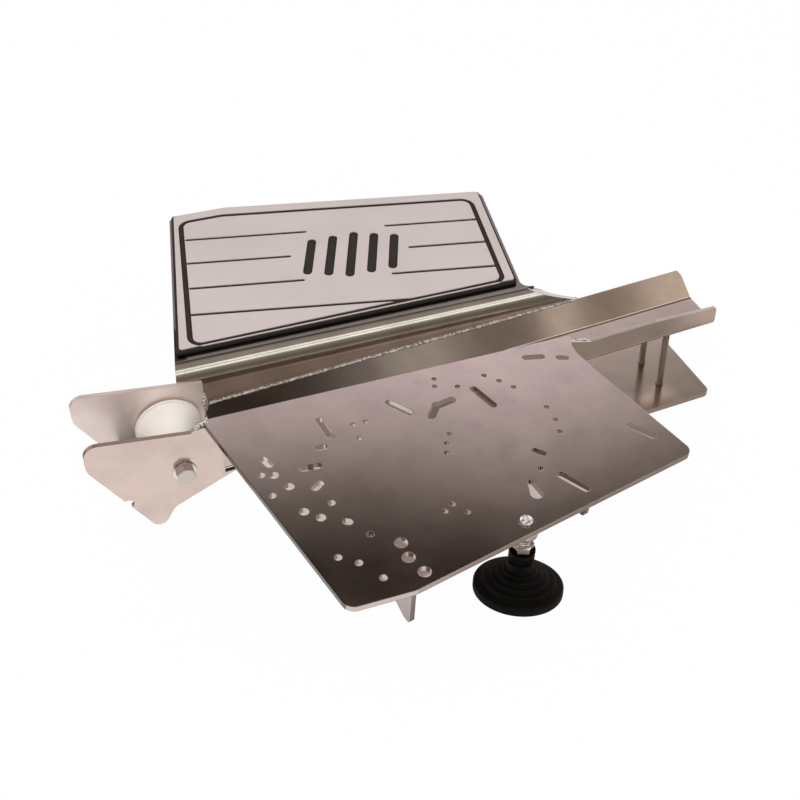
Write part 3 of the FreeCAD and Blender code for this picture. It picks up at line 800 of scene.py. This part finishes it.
def stroke_loop(begin, end, width, steps=6):
    """The outline of a straight stroke with round ends."""
    begin = Vector(begin)
    end = Vector(end)
    along = (end - begin).normalized()
    loop = []
    for centre, first in ((end, -90), (begin, 90)):
        loop += [centre + turned(along, math.radians(first + 180 * k / steps)) * width / 2
                 for k in range(steps + 1)]
    return loop


def inset_loop(points, distance):
    """The corner points of a convex outline, moved inward."""
    count = len(points)
    area = sum(points[i - 1][0] * points[i][1] - points[i][0] * points[i - 1][1] for i in range(count))
    sign = 1 if area > 0 else -1
    lines = []
    for i in range(count):
        begin = Vector(points[i])
        along = (Vector(points[(i + 1) % count]) - begin).normalized()
        normal = Vector((-along.y, along.x)) * sign
        lines.append((begin + normal * distance, along))
    result = []
    for i in range(count):
        first, along = lines[i - 1]
        second, onward = lines[i]
        gap = second - first
        cross = along.x * onward.y - along.y * onward.x
        run = (gap.x * onward.y - gap.y * onward.x) / cross
        result.append(tuple(first + along * run))
    return result


def slab(loops, low, high, bevel=0.0):
    """A flat sheet between two heights, in metres, bounded by the first loop; the other loops cut it."""
    curve = bpy.data.curves.new("slab", "CURVE")
    curve.dimensions = "2D"
    curve.fill_mode = "BOTH"
    curve.extrude = (high - low) / 2 - bevel
    curve.bevel_depth = bevel
    curve.bevel_resolution = 2
    curve.offset = -bevel
    for loop in loops:
        spline = curve.splines.new("POLY")
        spline.points.add(len(loop) - 1)
        for point, place in zip(spline.points, loop):
            point.co = (place[0] / 1000, place[1] / 1000, 0, 1)
        spline.use_cyclic_u = True
    shape = bpy.data.objects.new("slab_outline", curve)
    bpy.context.scene.collection.objects.link(shape)
    mesh = evaluated_mesh(shape)
    bpy.data.objects.remove(shape)
    bpy.data.curves.remove(curve)
    for vertex in mesh.vertices:
        vertex.co.z += (low + high) / 2
    return mesh


def evaluated_mesh(thing):
    """The mesh of an object in the scene as its curve or its modifiers make it."""
    bpy.context.view_layer.update()
    return bpy.data.meshes.new_from_object(thing.evaluated_get(bpy.context.evaluated_depsgraph_get()))


def carve(mesh, cutters):
    """The mesh with the cutters taken out of it."""
    body = bpy.data.objects.new("body", mesh)
    tool = bpy.data.objects.new("tool", join_meshes(cutters))
    for thing in (body, tool):
        bpy.context.scene.collection.objects.link(thing)
    modifier = body.modifiers.new("carve", "BOOLEAN")
    modifier.operation = "DIFFERENCE"
    modifier.solver = "EXACT"
    modifier.object = tool
    carved = evaluated_mesh(body)
    for thing in (body, tool):
        left = thing.data
        bpy.data.objects.remove(thing)
        bpy.data.meshes.remove(left)
    return carved


# Step pad, in millimetres from the near wall and the corner

PAD_NEAR = 107.0
PAD_FAR = 364.5
PAD_FRONT_Y = 104.0  # here the front edge's line meets X 0
PAD_AFT = (394.5, 110.0)  # a point on the aft edge's line
PAD_STRAIGHT = 62.0  # the far edge's run before it tapers
PAD_TIP_X = 431.5
PAD_RADII = [3, 3, 5, 25, 5]
PAD_BEVEL = 0.0009
BORDER_INSET = 3.0

# Grooves of the pad's top, in millimetres from the origin

RING = [(-193, 237), (169, 237), (203, 407.5), (-97, 470.5), (-147.5, 470.5)]
RING_RADII = [12, 12, 14, 30, 14]
RING_WIDTH = 6.2
PLANK_WIDTH = 4.8
PLANKS = (
    ((-149.2, 432.1), (-13.5, 404.3)), ((-159.3, 384.9), (-46.0, 361.4)), ((-168.3, 336.8), (-45.7, 311.6)),
    ((-179.1, 289.5), (62.0, 236.9)), ((82.5, 385.3), (197.5, 361.6)), ((93.1, 333.4), (188.0, 313.8)),
    ((55.4, 290.1), (178.0, 264.6)),
)
BARS = 5
BAR_PITCH = 24.0
BAR_WIDTH = 10.5
BAR_REACH = 41.0
BAR_SHRINK = 5.0
BAR_DIRECTION = Vector((0.42, 1.0)).normalized()
BARS_MIDDLE = Vector((24.0, 343.0))


def pad_outline(inset):
    """The pad's outline moved inward, in millimetres from the origin."""
    near = PAD_NEAR + inset
    far = PAD_FAR - inset
    front = inset - PAD_FRONT_Y * SWEEP
    aft = PAD_AFT[0] - PAD_AFT[1] * SWEEP - inset
    knee = front + far * SWEEP + PAD_STRAIGHT
    tip = PAD_TIP_X - inset
    corners = [(front + near * SWEEP, near), (aft + near * SWEEP, near), (tip, far - (tip - knee) * SWEEP),
               (knee, far), (front + far * SWEEP, far)]
    corners = [(x + CORNER_X * 1000, y + WALL_Y * 1000) for x, y in corners]
    return rounded_loop(corners, PAD_RADII)


def ring_outline(outward):
    """The groove that runs all round, its middle line moved outward."""
    return rounded_loop(inset_loop(RING, -outward), [radius + outward for radius in RING_RADII])


def grip_bars():
    """Plain slanted bars for grip in the middle of the pad."""
    loops = []
    for k in range(BARS):
        offset = k - (BARS - 1) / 2
        centre = BARS_MIDDLE + Vector((offset * BAR_PITCH, -offset * BAR_PITCH * SWEEP))
        reach = BAR_DIRECTION * (BAR_REACH - BAR_SHRINK * abs(offset))
        loops.append(stroke_loop(centre - reach, centre + reach, BAR_WIDTH))
    return loops


def make_pad(made):
    """A dark foam layer, and on it a light one with a border, a grooved ring and planks."""
    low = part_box("pad_base")[0].z
    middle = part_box("pad_top")[0].z
    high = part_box("pad_top")[1].z
    core = slab([pad_outline(0.0)], low, middle, PAD_BEVEL)
    core = finish_piece(core, "pad_core", "frame", made["dark_foam"], "foam_dark", "pad_base")

    border = slab([pad_outline(BORDER_INSET), ring_outline(RING_WIDTH / 2)], middle, high)
    planks = slab([ring_outline(-RING_WIDTH / 2)], middle, high)
    strokes = [stroke_loop(begin, end, PLANK_WIDTH) for begin, end in PLANKS] + grip_bars()
    cutters = [slab([stroke], middle - 0.002, high + 0.002) for stroke in strokes]
    panel = join_meshes([border, carve(planks, cutters)])
    panel = finish_piece(panel, "pad_panel", "frame", made["light_foam"], "foam_light", "pad_top")


# Roller and its bolt, in millimetres

AXLE_MIDDLE = 37.5
AXLE = at(-23.0, AXLE_MIDDLE, -57.0)
ROLLER_HALF = 33.0
ROLLER_RIM = 35.0
ROLLER_BORE = 9.0
ROLLER_WAIST = 21.0
ROLLER_LAND = 4.0
BOLT_RADIUS = 6.0
HEAD_Y = -4.5
THREAD_Y = 71.0
NUT_Y = 79.5


def across(y):
    """A point on the roller's axle, in millimetres from the near wall."""
    return AXLE + Vector((0, (y - AXLE_MIDDLE) / 1000, 0))


def make_roller(made):
    """The anchor roller: a recessed hub at each side, stepped rims and a rounded groove between them."""
    half = ROLLER_HALF
    rim = ROLLER_RIM
    shoulder = half - ROLLER_LAND
    face = [(ROLLER_BORE, half - 1.2), (15.0, half - 1.2), (16.5, half - 3.0), (27.0, half - 3.0),
            (29.5, half - 0.4), (rim - 2.6, half), (rim - 1.0, half - 0.5), (rim - 0.2, half - 1.6),
            (rim, half - 2.4), (rim, shoulder), (rim - 0.4, shoulder - 0.3), (rim - 2.6, shoulder - 0.5),
            (rim - 2.6, shoulder - 1.3), (rim - 0.7, shoulder - 1.6)]
    groove = []
    for k in range(1, 24):
        along = 1 - k / 12
        radius = ROLLER_WAIST + (rim - 1.0 - ROLLER_WAIST) * abs(along) ** 1.7
        groove.append((radius, along * (shoulder - 1.9)))
    outline = face + groove + [(radius, -height) for radius, height in reversed(face)]
    mesh = lathe(mm(outline), across(AXLE_MIDDLE), ACROSS, 128, math.radians(50))
    finish_piece(mesh, "roller_body", "roller", made["roller"], "roller_white", "roller")


def washer_pair(outer, thick, *places):
    """Two washers on the roller's bolt."""
    bore = BOLT_RADIUS + 0.3
    return join_smooth([washer(outer / 1000, bore / 1000, thick / 1000, across(y), ACROSS) for y in places])


def make_roller_bolt(made):
    head = hexagon(0.018, 0.0075, 0, across(HEAD_Y), -ACROSS, math.radians(12), both=False)
    collar = lathe(mm([(0, 0), (8.4, 0), (8.4, 0.6), (0, 0.6)]), across(HEAD_Y - 0.05), -ACROSS)
    shank = [(0, 0), (BOLT_RADIUS, 0), (BOLT_RADIUS, 76.0), (0, 76.0)]
    shank = lathe(mm(shank), across(HEAD_Y), ACROSS, 40)
    tip = rod(0.0225, BOLT_RADIUS / 1000, 0.00175, across(THREAD_Y), ACROSS)
    mesh = join_smooth([head, collar, shank, tip])
    finish_piece(mesh, "roller_bolt_m12", "frame", made["bolt"], "fastener", "roller_bolt")

    flat = washer_pair(12.0, 2.0, HEAD_Y, 77.5)
    finish_piece(flat, "roller_flat_washers", "frame", made["fastener"], "fastener", "roller_washers")
    thrust = washer_pair(14.0, 1.6, 2.5, 70.9)
    finish_piece(thrust, "roller_thrust_washers", "frame", made["fastener"], "fastener",
                 "roller_side_washers")

    nut = hexagon(0.018, 0.008, BOLT_RADIUS / 1000, across(NUT_Y), ACROSS, math.radians(20))
    dome = lathe(mm([(6.1, 7.5), (8.6, 7.5), (8.4, 10.2), (7.6, 11.5), (6.4, 11.5)]), across(NUT_Y), ACROSS)
    mesh = join_smooth([nut, dome])
    finish_piece(mesh, "roller_lock_nut", "frame", made["fastener"], "fastener", "roller_nut")


# Clamp: places in millimetres along, across and square to the channel, sizes in metres

STATIONS = (424.0, 533.0)
ROWS = (5.0, 46.0)
STUD_FOOT = -166.6
STUD_LENGTH = 0.096
STUD_RADIUS = 0.004
STUD_PITCH = 0.00125
WASHER_FOOT = -155.4
NUT_FOOT = -161.9
NUT_BORE = 0.0041


def make_clamp(made):
    studs = []
    washers = []
    places = [(station, row) for station in STATIONS for row in ROWS]
    for number, place in enumerate(places, 1):
        foot = on_channel(*place, STUD_FOOT)
        studs.append(rod(STUD_LENGTH, STUD_RADIUS, STUD_PITCH, foot, CHANNEL_NORMAL, 16))
        washers.append(washer(0.008, 0.0043, 0.0016, on_channel(*place, WASHER_FOOT), CHANNEL_NORMAL))
        foot = on_channel(*place, NUT_FOOT)
        nut = hexagon(0.013, 0.0065, NUT_BORE, foot, CHANNEL_NORMAL, math.radians(15))
        node = "clamp_nut_%d" % number
        finish_piece(nut, "clamp_hex_nut_%d" % number, node, made["fastener"], "fastener", node)
    studs = join_smooth(studs)
    finish_piece(studs, "clamp_threaded_studs", "frame", made["thread"], "fastener", "clamp_studs")
    washers = join_smooth(washers)
    finish_piece(washers, "clamp_flat_washers", "clamp", made["fastener"], "fastener", "clamp_washers")


# Levelling foot: outlines in millimetres of radius and height

FOOT = at(242.0, -228.0)
FOOT_NORMAL = Vector((0.1034, 0.2225, 1.0)).normalized()
BALL_Z = -56.0
HEXAGON_Z = -39.5
FOOT_STEPS = ((34.5, -17.0), (27.5, -13.5), (21.5, -9.5), (16.0, -6.0))


def foot_at(z):
    return FOOT + Vector((0, 0, z / 1000))


def make_foot_boss(made):
    outline = soft_outline([(7.05, -16, 0), (12, -16), (12, -6, 0), (7.05, -6, 0)], 1.2)
    boss = lathe(mm(outline), foot_at(0), UP)
    mesh = join_smooth([boss, bead_ring(foot_at(-6.6), 0.0125, 0.0016)])
    finish_piece(mesh, "foot_weld_boss", "frame", made["fastener"], "fastener", "foot_boss")


def make_foot_screw(made):
    """The screw with its hexagon and neck, and a rough bright end above the plate."""
    thread = rod(0.0295, 0.007, 0.002, foot_at(-28), UP, 28)
    head = hexagon(0.018, 0.0115, 0, foot_at(HEXAGON_Z), UP, math.radians(8))
    neck = [(0, -54), (5.0, -54), (5.0, HEXAGON_Z + 0.1), (0, HEXAGON_Z + 0.1)]
    neck = lathe(mm(neck), foot_at(0), UP, 40)
    mesh = join_smooth([thread, head, neck])
    finish_piece(mesh, "foot_screw", "foot_spindle", made["fastener"], "fastener", "foot_spindle")
    cap = lathe(mm([(0, 1.3), (6.3, 1.3), (6.1, 2.1), (5.0, 2.7), (2.4, 3.0), (0, 3.0)]), foot_at(0), UP)
    finish_piece(cap, "foot_screw_end", "foot_spindle", made["weld"], "weld")


def make_foot_rubber(made):
    """The cup that sits on the ball, and the stepped base that tips about it."""
    outline = soft_outline([(6.0, -49), (12.4, -49), (12.4, -36.5, 0.6),
                            (11.0, -36.5, 0.6), (11.0, -40.5), (6.0, -40.5, 0)], 1.4)
    cup = lathe(mm(outline), foot_at(0), UP)
    finish_piece(cup, "foot_rubber_cup", "foot_ball", made["rubber"], "black_rubber", "foot_collar")

    level = -22.1
    corners = [(0, -27.1, 0), (35, -27.1, 1), (37, -31.1, 1), (43, -31.1, 1.5), (43, level, 2.2)]
    for radius, height in FOOT_STEPS:
        corners += [(radius + 0.6, level + 0.5, 0.9), (radius, height, 1.3)]
        level = height
    corners += [(12.9, level + 0.4, 0.9), (12.4, 3.0, 1.0), (9.0, 3.0, 0.6), (9.0, -4.0, 0), (0, -9.0, 0)]
    base = lathe(mm(soft_outline(corners, 1.0)), foot_at(BALL_Z), FOOT_NORMAL, 128, math.radians(60))
    finish_piece(base, "foot_rubber_base", "foot_base", made["rubber"], "black_rubber", "foot_pad")


# Welds

SEAM_RUN = (19.5, 451.0)
SEAM_Y = 76.6
SEAM_HEIGHT = -47.9
LUMPS = (
    ((1.0, -1.5, 0.2), (0.0045, 0.0030, 0.0022), 0.3),
    ((-5.0, 0.0, -6.0), (0.004, 0.0028, 0.003), 1.1),
    ((18.0, 70.5, -36.0), (0.003, 0.003, 0.006), 2.0),
    ((18.5, 73.0, -44.0), (0.003, 0.003, 0.005), 0.9),
)
SHORT_BEADS = (
    ((18.5, 73.5, -28.0), (18.5, 73.5, -62.0), (-1, 0, 0), 1.0),
    ((402.0, 2.2, -7.0), (430.0, 2.2, -12.0), (0, 0, 1), 0.6),
)


def make_welds(made):
    """The seam between flange and channel, and the lumps and short beads at the corners."""
    begin, end = (on_channel(t, SEAM_Y, SEAM_HEIGHT) for t in SEAM_RUN)
    seam = bead(begin, end, 0.0010, Vector((0, -0.7, 0.7)))
    finish_piece(seam, "flange_seam", "frame", made["weld"], "weld", "flange_weld")
    lumps = [blob(at(*place), size, seed) for place, size, seed in LUMPS]
    for begin, end, up, seed in SHORT_BEADS:
        lumps.append(bead(at(*begin), at(*end), 0.0020, Vector(up), seed=seed))
    finish_piece(join_smooth(lumps), "corner_welds", "frame", made["weld"], "weld")


def main():
    make_camera()
    make_world()
    make_floor()
    make_lights()
    bpy.context.scene.view_settings.view_transform = "Standard"
    made = make_materials()
    dress_nodes(made)
    make_pad(made)
    make_roller(made)
    make_roller_bolt(made)
    make_clamp(made)
    make_foot_boss(made)
    make_foot_screw(made)
    make_foot_rubber(made)
    make_welds(made)


main()
